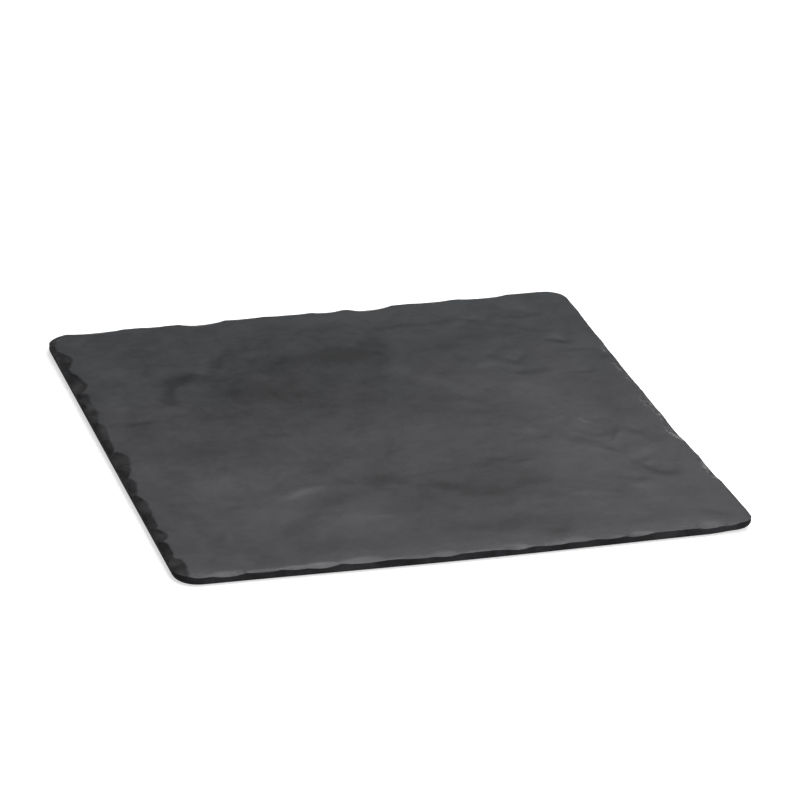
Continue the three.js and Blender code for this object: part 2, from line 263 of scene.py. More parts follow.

# Darker and lighter patches of colour that have no height: place, half length, half width, heading and
# tone.
# The two wide lighter ones at the front corners are painted light, where more light falls on the front.
TONE_AND_LIGHT_PATCHES = [
    (-88, 79, 14, 6, 0, -3), (-22, -63, 13, 6, 0, -9), (11, -79, 12, 6, -20, -9),
    (33, -89, 12, 6, 0, -8), (54, -84, 11, 6, 10, -8), (-45, 85, 80, 45, 0, -1.5), (-12, 48, 62, 38, 0, -6),
    (28, -58, 38, 22, 0, -4.5), (6, -102, 22, 18, 0, -3.5), (105, 105, 35, 22, 0, -3),
    (-40, 118, 50, 18, 0, -2.5), (-62, 22, 34, 18, 0, -4), (18, 62, 20, 16, 0, -3),
    (128, 84, 14, 12, 0, -2.5), (50, -75, 30, 14, 0, -2), (60, -128, 22, 16, 0, -2),
    (-98, 73, 5, 6, 0, -5), (-80, 97, 7, 6, 0, -4), (77, 118, 12, 7, 10, -5), (98, 135, 14, 7, 0, -4),
    (-111, -85, 9, 9, 0, -5), (127, 84, 7, 3, -20, -4), (-64, -124, 9, 6, 0, -4), (-38, 71, 8, 7, 0, -4),
    (-146, -10, 5, 8, 0, -4), (-130, -18, 8, 7, 0, -4), (127, -81, 8, 6, 0, -4), (87, -71, 8, 7, 0, -4),
    (-110, -110, 60, 45, 0, 1.2), (110, -100, 55, 50, 0, 1.2), (-138, 56, 9, 18, 0, 4),
    (-100, -54, 45, 26, 0, 3.5), (-45, -132, 30, 14, 0, 4), (105, 20, 45, 40, 0, 2),
    (-84, -92, 22, 14, 20, 3), (-128, 136, 18, 12, 0, 2.5), (-125, -62, 16, 18, 0, 2),
    (-103, 59, 5, 8, -16, 3), (-73, 84, 8, 6, 0, 5), (-52, 84, 8, 7, 0, 5), (110, -38, 14, 8, 0, 5),
    (102, -49, 12, 7, 0, 4), (-32, -118, 9, 7, 0, 6), (-54, -91, 9, 7, 0, 5), (-128, 46, 9, 7, 0, 4),
    (-89, -136, 9, 6, 0, 5), (-4, 49, 8, 7, 0, 4), (91, 98, 8, 7, 0, 4), (-98, 57, 5, 6, 0, 4),
    (-63, -45, 9, 7, 0, 4), (-120, -139, 8, 6, 0, 4), (-136, -144, 8, 5, 0, 4),
]

# Small mounds on the right half: how many, their seed, where they may be, and the ranges of their half
# lengths and widths, heights and headings.
MOUND_COUNT = 30
MOUND_SEED = 5
MOUND_FIELD = ((35, 142), (-112, 136))
MOUND_SIZES = (3.5, 8.0)
MOUND_HEIGHTS = (0.08, 0.24)
MOUND_HEADINGS = (-40, 40)
MOUND_LIGHT = 12  # painted light: a mound is this much lighter for each millimetre of height

# Feet and discs: mesh steps, the rounds of a foot's lower and upper edge, how far a disc's side bulges,
# and the rings on their flat faces as shares of the radius.
LATHE_STEPS = 96
FOOT_ROUND_LOW = 0.5
FOOT_ROUND_HIGH = 0.2
FOOT_ROUND_STEPS = 6
FOOT_RINGS_LOW = (0.3, 0.6, 0.9)
FOOT_RINGS_HIGH = (0.9, 0.5)
DISC_BULGE = 0.12
DISC_STEPS = 5
DISC_RINGS = (0, 0.5, 0.95)

# Slate: its colours, the noise in it (bump size, detail, roughness and distortion), and the parts of the
# noise's range over which one look turns into another.
WARM_SLATE = (0.0350, 0.0340, 0.0379, 1)
COOL_SLATE = (0.0316, 0.0343, 0.0375, 1)
SPECK_GREY = (0.060, 0.060, 0.063, 1)
# Painted shade on the broken faces of the chips, most on the left side, where they face away from the light
FACET_SHADE_DARK = (0.011, 0.011, 0.012, 1)
FACET_SHADE_LIGHT = (0.030, 0.030, 0.031, 1)
# Painted shade on the wall and in the seats of the feet
WALL_SHADE = (0.014, 0.014, 0.015, 1)
# Painted glints on the lips of the chips
GLINT_PALE = (0.17, 0.17, 0.175, 1)
SLATE_NOISE = {
    "cloud": (55, 3, 0.55, 0.6),
    "mottle": (14, 4, 0.6, 0.4),
    "fleck": (5, 3, 0.6, 0.8),
    "grain": (1.6, 4, 0.65, 0.0),
    "speck": (0.5, 2, 0.6, 0.0),
    "tint": (42, 2, 0.5, 0.0),
}
NOISE_RANGE = (0.3, 0.7)
TINT_RANGE = (0.42, 1.10)
TINT_SPREAD = 5.0  # the colour turns cooler towards the back, by this much for each metre
SPECK_RANGE = (0.55, 0.75)
SPECK_SHARES = (0, 0.2)
FACET_SHADE_RANGE = (0.36, 0.64)
FACET_SHADE_SHARE = 0.92
WALL_SHADE_RANGE = (0.35, 0.65)
WALL_SHADE_SHARES = (0.90, 0.55)
GLINT_RANGE = (0.35, 0.6)
GLINT_SHARES = (0.1, 0.9)
# How much lighter or darker the noise and each level of tone and painted shade make the slate
CLOUD_CONTRAST = 0.10
MOTTLE_CONTRAST = 0.14
FLECK_CONTRAST = 0.07
TONE_AND_SHADE_STEP = 0.055
LEAST_LIGHT = 0.35
# Its roughness and gloss, what the grain, a wall and a broken face add to them, and its bumps
SLATE_ROUGHNESS = (0.42, 0.56)
GRAIN_ROUGHNESS = (-0.04, 0.04)
WALL_ROUGHNESS = 0.15
BROKEN_ROUGHNESS = -0.03
SLATE_SPECULAR = 0.30
WALL_SPECULAR = -0.28
SLATE_BUMPS = {"mottle": 0.10, "grain": 0.045, "speck": 0.012}
SLATE_BUMP_STRENGTH = 0.5

# Rubber of the feet and foam of the adhesive discs
RUBBER_DARK = (0.014, 0.014, 0.015, 1)
RUBBER_LIGHT = (0.024, 0.024, 0.025, 1)
RUBBER_GRAIN = (0.6, 3, 0.6, 0.0)
RUBBER_CLOUD = (5, 2, 0.5, 0.0)
RUBBER_ROUGHNESS = (0.72, 0.88)
RUBBER_BUMP_STRENGTH = 0.6
FOAM_DARK = (0.20, 0.195, 0.185, 1)
FOAM_LIGHT = (0.30, 0.295, 0.28, 1)
FOAM_CELL = 0.25
FOAM_RANGE = (0.1, 0.7)
FOAM_ROUGHNESS = (0.75, 0.9)
FOAM_BUMP_STRENGTH = 0.5
SOFT_BUMP = 0.05  # both have this bump and this gloss
SOFT_SPECULAR = 0.3

# The stage, in metres: a white floor that also glows where it is looked at, more so far off, white light
# all round, and softboxes that face the origin, with their places, sizes and powers.
WHITE = (1, 1, 1, 1)
FLOOR_HALF = 8.0
FLOOR_GREY = (0.75, 0.75, 0.75, 1)
FLOOR_ROUGHNESS = 0.9
GLOW_DISTANCES = (0.6, 3.0)
GLOW_STRENGTHS = (0.6, 1.0)
SURROUNDING_LIGHT = 0.18
SOFTBOXES = {
    "key_softbox": ((0.10, -0.28, 0.90), 0.65, 6.8),
    "back_softbox": ((0.75, 1.05, 1.50), 0.9, 10.0),
    "front_softbox": ((0.05, -0.85, 0.55), 0.4, 3.8),
}

# The camera that took the photograph: its turn, tilt and roll in degrees, its distance, the lens on a
# 36 mm sensor, and the point that it looks at, from the origin along its own right and up.
CAMERA_YAW = 18.161
CAMERA_PITCH = 24.839
CAMERA_ROLL = 2.544
CAMERA_DISTANCE = 2201.7
CAMERA_SENSOR = 36.0
CAMERA_LENS = 185.23
CAMERA_AIM_RIGHT = 7.84
CAMERA_AIM_UP = 18.89


def fade(t):
    return t * t * t * (t * (6 * t - 15) + 10)


def smooth_step(t):
    t = np.clip(t, 0, 1)
    return t * t * (3 - 2 * t)


def noise(x, y, length, seed):
    """Gradient noise, about -1 to 1, whose bumps are about a length across."""
    angles = np.random.default_rng(seed).uniform(0, 2 * np.pi, (NOISE_CELLS, NOISE_CELLS))
    u, v = x / length, y / length
    i, j = np.floor(u).astype(int), np.floor(v).astype(int)
    fu, fv = u - i, v - j

    def slope(di, dj):
        angle = angles[(i + di) % NOISE_CELLS, (j + dj) % NOISE_CELLS]
        return np.cos(angle) * (fu - di) + np.sin(angle) * (fv - dj)

    wu, wv = fade(fu), fade(fv)
    near = slope(0, 0) * (1 - wu) + slope(1, 0) * wu
    far = slope(0, 1) * (1 - wu) + slope(1, 1) * wu
    return math.sqrt(2) * (near * (1 - wv) + far * wv)


def unevenness(x, y, rows, level=0):
    """A level plus rows of noise, each with its half height, bump length and seed."""
    return sum((half * noise(x, y, length, seed) for half, length, seed in rows), level)


def swells(x, y):
    """Height of the long low waves of the top."""
    height = np.zeros_like(x)
    for half, length, heading, phase in SWELLS:
        turn = math.radians(heading)
        distance = x * math.cos(turn) + y * math.sin(turn)
        height += half * np.sin(2 * np.pi * distance / length + phase)
    return height


def from_line(x, y, line):
    """Distance from a line, over 0 on its right hand, distance along it, and its length."""
    line = np.array(line, float)
    starts, ends = line[:-1], line[1:]
    lengths = np.hypot(*(ends - starts).T)
    before = np.concatenate([[0], np.cumsum(lengths)])
    nearest = np.full(x.shape, np.inf)
    signed = np.zeros_like(x)
    along = np.zeros_like(x)
    for start, end, length, passed in zip(starts, ends, lengths, before):
        ux, uy = (end - start) / length
        dx, dy = x - start[0], y - start[1]
        run = dx * ux + dy * uy
        inside = np.clip(run, 0, length)
        away = np.hypot(dx - inside * ux, dy - inside * uy)
        closer = away < nearest
        nearest = np.where(closer, away, nearest)
        side = np.sign(dx * uy - dy * ux)
        signed = np.where(closer, side * away, signed)
        along = np.where(closer, passed + run, along)
    return signed, along, before[-1]


def ledge(x, y, line, drop, width):
    """Height and painted shade of a step down to the right of a line, whose ground climbs back further off.
    """
    signed, along, length = from_line(x, y, line)
    share = smooth_step(along / LEDGE_FADE + 0.5) * smooth_step((length - along) / LEDGE_FADE + 0.5)
    fall = drop * share * unevenness(x, y, LEDGE_HEIGHT, 1)
    across = signed / (width * unevenness(x, y, LEDGE_WIDTH, 1))
    step = smooth_step(across + 0.5) * np.exp(-np.maximum(signed, 0) / LEDGE_RAMP)
    return -fall * step, LEDGE_SHADE * fall * np.exp(-LEDGE_SHADE_SHARPNESS * across ** 2)


def mounds():
    """Rows like those of PATCHES for the small mounds."""
    random = np.random.default_rng(MOUND_SEED)
    rows = []
    for _ in range(MOUND_COUNT):
        place = [random.uniform(*limits) for limits in MOUND_FIELD]
        long, wide = np.sort(random.uniform(*MOUND_SIZES, 2))[::-1]
        height = random.uniform(*MOUND_HEIGHTS)
        heading = random.uniform(*MOUND_HEADINGS)
        rows.append((*place, long, wide, heading, height, MOUND_LIGHT * height))
    return rows


def patch(x, y, place_x, place_y, length, width, heading):
    """A soft oval, 1 in its middle."""
    turn = math.radians(heading)
    along = (x - place_x) * math.cos(turn) + (y - place_y) * math.sin(turn)
    across = (y - place_y) * math.cos(turn) - (x - place_x) * math.sin(turn)
    return np.exp(-((along / length) ** 2) - (across / width) ** 2)


def relief(x, y):
    """Height of the riven ground of the top, about its long low waves, and how much lighter or darker it
    is, with painted shade and light.
    """
    warped_x, warped_y = unevenness(x, y, WARP_X, x), unevenness(x, y, WARP_Y, y)
    height = unevenness(warped_x, warped_y, GROUND)
    tone = np.zeros_like(x)
    x, y = x + WARP_SHARE * (warped_x - x), y + WARP_SHARE * (warped_y - y)
    # each ledge darkens its lip as painted shade
    for row in LEDGES:
        fall, shade = ledge(x, y, *row)
        height += fall
        tone += shade
    # hollows get painted shade, rises and mounds painted light
    for *shape, rise, shade in PATCHES + mounds():
        share = patch(x, y, *shape)
        height += rise * share
        tone += shade * share
    # patches of colour; the two wide ones at the front corners are painted light
    for *shape, shade in TONE_AND_LIGHT_PATCHES:
        tone += shade * patch(x, y, *shape)
    return RELIEF_GAIN * height, tone


def turn_from_front_left(points):
    """Each point's angle about the middle, from that of the front left corner."""
    return (np.arctan2(points[:, 1], points[:, 0]) + 3 * np.pi / 4) % (2 * np.pi)


def outline_points():
    """The slab's outline from its CAD node, as a spline of dense points from the front left corner."""
    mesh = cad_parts["slab"].data
    points = np.array([vertex.co for vertex in mesh.vertices]) / MM
    ring = points[np.abs(points[:, 2] - WALL_FOOT) < LEVEL_TOLERANCE, :2]
    ring = np.unique(np.round(ring, 3), axis=0)
    ring = ring[np.argsort(turn_from_front_left(ring))]
    t = (np.arange(SPLINE_STEPS) / SPLINE_STEPS)[None, :, None]
    p0, p1, p2, p3 = (np.roll(ring, shift, axis=0)[:, None, :] for shift in (1, 0, -1, -2))
    curve = 0.5 * (
        2 * p1 + (p2 - p0) * t + (2 * p0 - 5 * p1 + 4 * p2 - p3) * t**2
        + (3 * p1 - p0 - 3 * p2 + p3) * t**3
    )
    return np.clip(curve.reshape(-1, 2), SLAB_LOW[:2], SLAB_HIGH[:2])


def outline_samples():
    """Evenly spaced points on each side: place, outward normal, distance round, and the perimeter."""
    dense = outline_points()
    turn = turn_from_front_left(dense)
    dense = np.roll(dense, -int(np.argmin(turn)), axis=0)
    closed = np.vstack([dense, dense[:1]])
    passed = np.concatenate([[0], np.cumsum(np.hypot(*np.diff(closed, axis=0).T))])
    corners = np.searchsorted(np.sort(turn), np.arange(4) * np.pi / 2)
    marks = np.append(passed[corners], passed[-1])
    marks[0] = 0
    steps = np.arange(SIDE_STEPS) / SIDE_STEPS
    places = np.concatenate([marks[k] + (marks[k + 1] - marks[k]) * steps for k in range(4)])

    def at(distance):
        distance = distance % passed[-1]
        return np.stack([np.interp(distance, passed, closed[:, axis]) for axis in (0, 1)], axis=1)

    tangent = at(places + TANGENT_REACH) - at(places - TANGENT_REACH)
    tangent /= np.hypot(*tangent.T)[:, None]
    normal = np.stack([tangent[:, 1], -tangent[:, 0]], axis=1)
    return at(places), normal, places, passed[-1]


CAD_POINTS, NORMALS, PLACES, PERIMETER = outline_samples()


def shorter_way(distance):
    """A distance round the outline as that of the shorter way, under 0 for backwards."""
    return (distance + PERIMETER / 2) % PERIMETER - PERIMETER / 2


def from_front_right():
    """Distance round the outline from its front right corner, under 0 along the front."""
    return shorter_way(PLACES - PLACES[SIDE_STEPS])


def filled_points():
    """The outline's points, with the front right corner a little fuller."""
    fill = CORNER_FILL * smooth_step(1 - np.abs(from_front_right()) / CORNER_FILL_REACH)
    return np.clip(CAD_POINTS + fill[:, None] * NORMALS, SLAB_LOW[:2], SLAB_HIGH[:2])


def run_together(values, reach):
    """Values round the outline, averaged over some points either way."""
    wrapped = np.concatenate([values[-reach:], values, values[:reach]])
    return np.convolve(wrapped, np.full(2 * reach + 1, 1 / (2 * reach + 1)), "valid")


def worn(values):
    """A value for each side, as one for each outline point, with each side running into the next."""
    return run_together(np.repeat(np.array(values, float), SIDE_STEPS), CORNER_BLEND)


POINTS = filled_points()
EASED_NORMALS = np.stack([run_together(NORMALS[:, axis], NORMAL_EASE) for axis in (0, 1)], axis=1)
WEAR_AND_SHADE = {key: worn(values) for key, values in EDGE_WEAR_AND_SHADE.items()}


def chip_rows():
    """Each chip and nick: place round the outline, lengths to either end, reach, drop and two painted
    shades.
    """
    rows = []
    random = np.random.default_rng(NICK_SEED)
    for k, side in enumerate(SIDES):
        on_side = slice(k * SIDE_STEPS, (k + 1) * SIDE_STEPS)
        along = POINTS[on_side, k % 2]
        order = np.argsort(along)
        backwards = side in ("back", "left")

        def place(value):
            return np.interp(value, along[order], PLACES[on_side][order])

        for at, minus, plus, reach, drop, *face_shades in CHIPS[side]:
            before, after = (plus, minus) if backwards else (minus, plus)
            rows.append((place(at), before, after, reach, drop * FLAT_WALL, *(face_shades or (0, 0))))
        for _ in range(NICKS[side]):
            at = random.uniform(along.min(), along.max())
            length = random.uniform(*NICK_LENGTHS)
            lean = random.uniform(*NICK_LEANS)
            reach = random.uniform(*NICK_REACHES)
            drop = random.uniform(*NICK_DROPS)
            rows.append((place(at), length * lean, length * (1 - lean), reach, drop, 0, 0))
    return rows


CHIP_ROWS = chip_rows()


def undercut():
    """The share of the full undercut at each outline point."""
    offset = from_front_right()
    return smooth_step(1 - np.abs(offset) / np.where(offset < 0, UNDERCUT_FRONT, UNDERCUT_RIGHT))


def bevel_depth(inset):
    """How far the narrow worn edge lies below the top at an inset, all round."""
    size = unevenness(PLACES, 0, BEVEL_SIZE, 1)
    drop = WEAR_AND_SHADE["bevel_drop"] * (1 - UNDERCUT_BEVEL_LOSS * undercut())
    return drop * size * np.maximum(1 - inset / (WEAR_AND_SHADE["bevel_reach"] * size), 0)


def edge_depth(inset):
    """How far the chips and the worn edge lie below the top at an inset, all round, and the painted shade
    of their faces.
    """
    distance = unevenness(PLACES, CHIP_SWAY_STRETCH * inset, CHIP_SWAY, PLACES)
    reach_share = unevenness(PLACES, inset, CHIP_REACH, 1)
    deepest = bevel_depth(inset)
    total = deepest ** WEAR_AND_SHADE["meeting"]
    tone = np.zeros_like(PLACES)
    for at, before, after, reach, drop, outer_shade, lip_shade in CHIP_ROWS:
        offset = shorter_way(distance - at)
        bend = np.abs(offset / np.where(offset < 0, before, after))
        inwards = inset / (reach * reach_share)
        share = np.maximum(1 - inwards - bend ** WEAR_AND_SHADE["end_power"], 0)
        fall = drop * share ** WEAR_AND_SHADE["lip_power"]
        total = total + fall ** WEAR_AND_SHADE["meeting"]
        # the deepest chip's face gives its painted shade and light
        tone = np.where(fall > deepest, outer_shade + (lip_shade - outer_shade) * inwards, tone)
        deepest = np.maximum(fall, deepest)
    depth = total ** (1 / WEAR_AND_SHADE["meeting"])
    rough = WEAR_AND_SHADE["uneven"] * unevenness(PLACES, FACE_STRETCH * inset, FACE_ROUGHNESS)
    return np.maximum(depth + rough * np.minimum(depth / ROUGH_DEPTH, 1), 0), tone


def painted_glints(inset, depth):
    """Small painted glints on the edge and on the lips of the chips."""
    placed = np.full_like(PLACES, GLINTS_ALL_ROUND)
    for at, half, share in RIGHT_GLINTS:
        placed += share * np.exp(-((POINTS[:, 1] - at) / half) ** 2)
    placed = np.where(POINTS[:, 0] > 0, placed, GLINTS_ALL_ROUND)
    on_lip = smooth_step(depth / GLINT_START) * smooth_step((GLINT_END - depth) / GLINT_FADE)
    speckle = unevenness(PLACES, GLINT_STRETCH * inset, GLINT_SPECKLE)
    seen = smooth_step((speckle + GLINT_SPREAD * placed - GLINT_THRESHOLD) / GLINT_SOFTNESS)
    return WEAR_AND_SHADE["glinting"] * on_lip * seen * np.minimum(placed, 1)


def inset_points(inset):
    """The outline moved inwards: further in, it turns its corners more gently, so that it never folds."""
    inset = np.reshape(inset, (-1, 1))
    heading = NORMALS + (EASED_NORMALS - NORMALS) * np.minimum(inset / BAND_WIDTH, 1)
    return (POINTS - inset * heading / np.hypot(*heading.T)[:, None]).T


def top_height(x, y):
    """The level of the top without its chips, under the CAD solid's highest point, and how much lighter or
    darker it is there, with painted shade and light.
    """
    from_edge = SLAB_HIGH[0] - np.maximum(np.abs(x), np.abs(y))
    inland = smooth_step(from_edge / INLAND)
    ground, tone = relief(x, y)
    height = TOP_LEVEL - SAG * inland
    height += (1 - SWELL_LOSS * inland) * swells(x, y)
    height += (EDGE_GROUND + (1 - EDGE_GROUND) * inland) * ground
    roll = FRONT_ROLL * smooth_step((FRONT_ROLL_END - x) / FRONT_ROLL_FADE)
    height -= roll * np.clip(1 - (y - SLAB_LOW[1]) / FRONT_ROLL_REACH, 0, 1) ** 2
    room = (HIGHEST - height) / CREST_SOFTNESS
    return HIGHEST - CREST_SOFTNESS * np.logaddexp(0, room), tone


SKIN_KEYS = ("facet", "shine", "wall", "tone", "scuff")


class Skin:
    """Points and faces of a mesh in the making, with numbers that its material reads."""

    def __init__(self):
        self.points = []
        self.values = {key: [] for key in SKIN_KEYS}
        self.faces = []
        self.count = 0

    def add(self, x, y, z, **values):
        """Adds points and returns their numbers; a value that isn't given is 0."""
        x = np.asarray(x, float)
        self.points.append(np.stack([x, y, np.broadcast_to(z, x.shape)], axis=1))
        for key, blocks in self.values.items():
            blocks.append(np.broadcast_to(np.asarray(values.get(key, 0), float), x.shape))
        indices = np.arange(self.count, self.count + len(x))
        self.count += len(x)
        return indices

    def join(self, *corners):
        self.faces.append(np.stack(corners, axis=-1).reshape(-1, len(corners)))

    def strip(self, outer, inner):
        self.join(outer, np.roll(outer, -1), np.roll(inner, -1), inner)

    def mesh(self, name):
        mesh = bpy.data.meshes.new(name)
        faces = [tuple(face) for block in self.faces for face in block.tolist()]
        mesh.from_pydata((np.concatenate(self.points) * MM).tolist(), [], faces)
        for key, blocks in self.values.items():
            layer = mesh.attributes.new(key, "FLOAT", "POINT")
            layer.data.foreach_set("value", np.concatenate(blocks).astype(np.float32))
        mesh.shade_smooth()
        mesh.validate()
        return mesh


def add_wall(skin):
    """Rings of points up the rounded lower rim and the wall."""
    lip = top_height(*inset_points(0))[0] - edge_depth(0)[0]
    cut = undercut()
    rim_in = WEAR_AND_SHADE["lower_round"] + UNDERCUT_IN * cut
    rim_up = np.minimum(WEAR_AND_SHADE["lower_round"] + UNDERCUT_UP * cut, lip - STAND - LEAST_WALL)
    rings = []
    for turn in np.linspace(np.pi / 2, 0, RIM_STEPS + 1):
        x, y = inset_points(rim_in * (1 - math.cos(turn)))
        level = STAND + rim_up * (1 - math.sin(turn))
        # the wall mask gives the wall its painted shade
        rings.append(skin.add(x, y, level, wall=1, tone=WEAR_AND_SHADE["wall_painted_shade"]))
    foot = STAND + rim_up
    for share in WALL_SHARES:
        dent = unevenness(PLACES, WALL_STRETCH * share, WALL_DENTS, WALL_DENT)
        x, y = inset_points(dent * math.sin(np.pi * share))
        level = foot + (lip - foot) * share
        # the same painted shade up the wall
        rings.append(skin.add(x, y, level, wall=1, tone=WEAR_AND_SHADE["wall_painted_shade"]))
    return rings


def add_band(skin):
    """Rings of points across the chipped band of the top."""
    rings = []
    for step in range(BAND_STEPS):
        inset = BAND_WIDTH * (step / BAND_STEPS) ** BAND_GROWTH
        x, y = inset_points(inset)
        depth, chip_face_shade = edge_depth(inset)
        level, tone = top_height(x, y)
        facet = smooth_step(depth / FACET_DEPTH)
        # painted shade on the broken faces, on the chips' faces and on the top, and painted glints on the
        # lips
        rings.append(skin.add(
            x, y, level - depth, facet=facet * WEAR_AND_SHADE["painted_shade"], shine=facet * WEAR_AND_SHADE["shine"],
            tone=tone + facet * chip_face_shade, scuff=painted_glints(inset, depth),
        ))
    return rings


def border_sides(border):
    """A border's front, right, back and left, each from the left or from the front."""
    cells = len(border) // 4
    closed = np.concatenate([border, border[:1]])
    front, right, back, left = (closed[k * cells:(k + 1) * cells + 1] for k in range(4))
    return front, right, back[::-1], left[::-1]


def grid_places(border):
    """Places of a grid that fills a border of places."""
    front, right, back, left = border_sides(border)
    u = np.linspace(0, 1, len(front))[None, :, None]
    v = np.linspace(0, 1, len(left))[:, None, None]
    return (
        front[None] * (1 - v) + back[None] * v + left[:, None] * (1 - u) + right[:, None] * u
        - front[0] * (1 - u) * (1 - v) - front[-1] * u * (1 - v)
        - back[0] * (1 - u) * v - back[-1] * u * v
    )


def add_top(skin, ring):
    """A grid over the middle of the top, with half as many points a side as the ring round it."""
    places = np.stack(inset_points(BAND_WIDTH), axis=1)[::2]
    level, tone = top_height(*places.T)
    border = skin.add(*places.T, level, tone=tone)
    even, odd = ring[::2], ring[1::2]
    next_even, next_border = np.roll(even, -1), np.roll(border, -1)
    skin.join(even, odd, border)
    skin.join(odd, next_border, border)
    skin.join(odd, next_even, next_border)

    inner = grid_places(places)[1:-1, 1:-1]
    x, y = inner.reshape(-1, 2).T
    level, tone = top_height(x, y)
    indices = skin.add(x, y, level, tone=tone)
    grid = np.pad(indices.reshape(inner.shape[:2]), 1)
    grid[0], grid[:, -1], grid[-1], grid[:, 0] = border_sides(border)
    skin.join(grid[:-1, :-1], grid[:-1, 1:], grid[1:, 1:], grid[1:, :-1])


def add_seat(skin, corner):
    """The round seat of a corner's foot. Returns the ring of its mouth."""
    low, high = node_box(f"{corner}_foot")
    middle = (low + high) / 2
    reach = (high - low)[0] / 2 + SEAT_CLEARANCE
    roof = node_box(f"{corner}_adhesive_disc")[1][2]
    angles = np.arange(SEAT_STEPS) * 2 * np.pi / SEAT_STEPS
    x, y = middle[0] + reach * np.cos(angles), middle[1] + reach * np.sin(angles)
    mouth = skin.add(x, y, STAND, wall=1)
    edge = skin.add(x, y, roof, wall=1)
    centre = skin.add(middle[:1], middle[1:2], roof, wall=1)
    skin.strip(edge, mouth)
    skin.join(np.repeat(centre, SEAT_STEPS), np.roll(edge, -1), edge)
    return mouth


def add_underside(skin, rim):
    """The flat underside with its four round seats."""
    loops = [rim] + [add_seat(skin, corner) for corner in CORNER_NAMES]
    sizes = [len(loop) for loop in loops]
    numbers = np.concatenate(loops)
    points = [Vector(point) for point in np.concatenate(skin.points)[numbers, :2]]
    edges = []
    for size in sizes:
        start = len(edges)
        edges += [(start + k, start + (k + 1) % size) for k in range(size)]
    _, _, faces, origins, _, _ = delaunay_2d_cdt(points, edges, [], 2, FLAT_TOLERANCE)
    corners = np.array([[origins[v][0] for v in face] for face in faces])
    owners = np.repeat(np.arange(len(loops)), sizes)[corners]
    in_seat = (owners == owners[:, :1]).all(axis=1) & (owners[:, 0] > 0)
    skin.faces.append(numbers[corners[~in_seat]][:, ::-1])


def slab_mesh():
    """The closed skin of the slab."""
    skin = Skin()
    rings = add_wall(skin) + add_band(skin)
    for outer, inner in zip(rings, rings[1:]):
        skin.strip(outer, inner)
    add_top(skin, rings[-1])
    add_underside(skin, rings[0])
    return skin.mesh("riven_slab")


def lathe_mesh(name, middle, profile):
    """A closed solid turned about an upright axis; profile runs from the lower middle to the upper."""
    angles = np.arange(LATHE_STEPS) * 2 * np.pi / LATHE_STEPS
    points = []
    faces = []
    rings = []
    for across, height in profile[1:-1]:
        rings.append(np.arange(LATHE_STEPS) + len(points))
        x, y = middle[0] + across * np.cos(angles), middle[1] + across * np.sin(angles)
        points += [(*place, height) for place in zip(x, y)]
    for lower, upper in zip(rings, rings[1:]):
        faces += np.stack([lower, np.roll(lower, -1), np.roll(upper, -1), upper], axis=1).tolist()
    for end, ring, flip in ((profile[0], rings[0], True), (profile[-1], rings[-1], False)):
        centre = len(points)
        points.append((middle[0], middle[1], end[1]))
        fan = [(int(a), int(b), centre) for a, b in zip(ring, np.roll(ring, -1))]
        faces += [face[::-1] for face in fan] if flip else fan
    mesh = bpy.data.meshes.new(name)
    mesh.from_pydata((np.array(points) * MM).tolist(), [], faces)
    mesh.shade_smooth()
    return mesh


def foot_profile(low, high, radius):
    """Half the upright section of a foot, with its lower and upper edge rounded."""
    flat_low, flat_high = radius - FOOT_ROUND_LOW, radius - FOOT_ROUND_HIGH
    turns = np.linspace(0, np.pi / 2, FOOT_ROUND_STEPS)
    profile = [(0, low)]
    profile += [(share * flat_low, low) for share in FOOT_RINGS_LOW]
    for turn in turns:
        across, up = math.sin(turn), 1 - math.cos(turn)
        profile.append((flat_low + FOOT_ROUND_LOW * across, low + FOOT_ROUND_LOW * up))
    for turn in turns:
        across, down = math.cos(turn), 1 - math.sin(turn)
        profile.append((flat_high + FOOT_ROUND_HIGH * across, high - FOOT_ROUND_HIGH * down))
    profile += [(share * flat_high, high) for share in FOOT_RINGS_HIGH]
    return profile + [(0, high)]


def disc_profile(low, high, radius):
    """Half the upright section of an adhesive disc, with its side bulging out."""
    profile = [(share * radius, low) for share in DISC_RINGS]
    for share in np.linspace(0, 1, DISC_STEPS):
        profile.append((radius - DISC_BULGE * (2 * share - 1) ** 2, low + (high - low) * share))
    return profile + [(share * radius, high) for share in reversed(DISC_RINGS)]


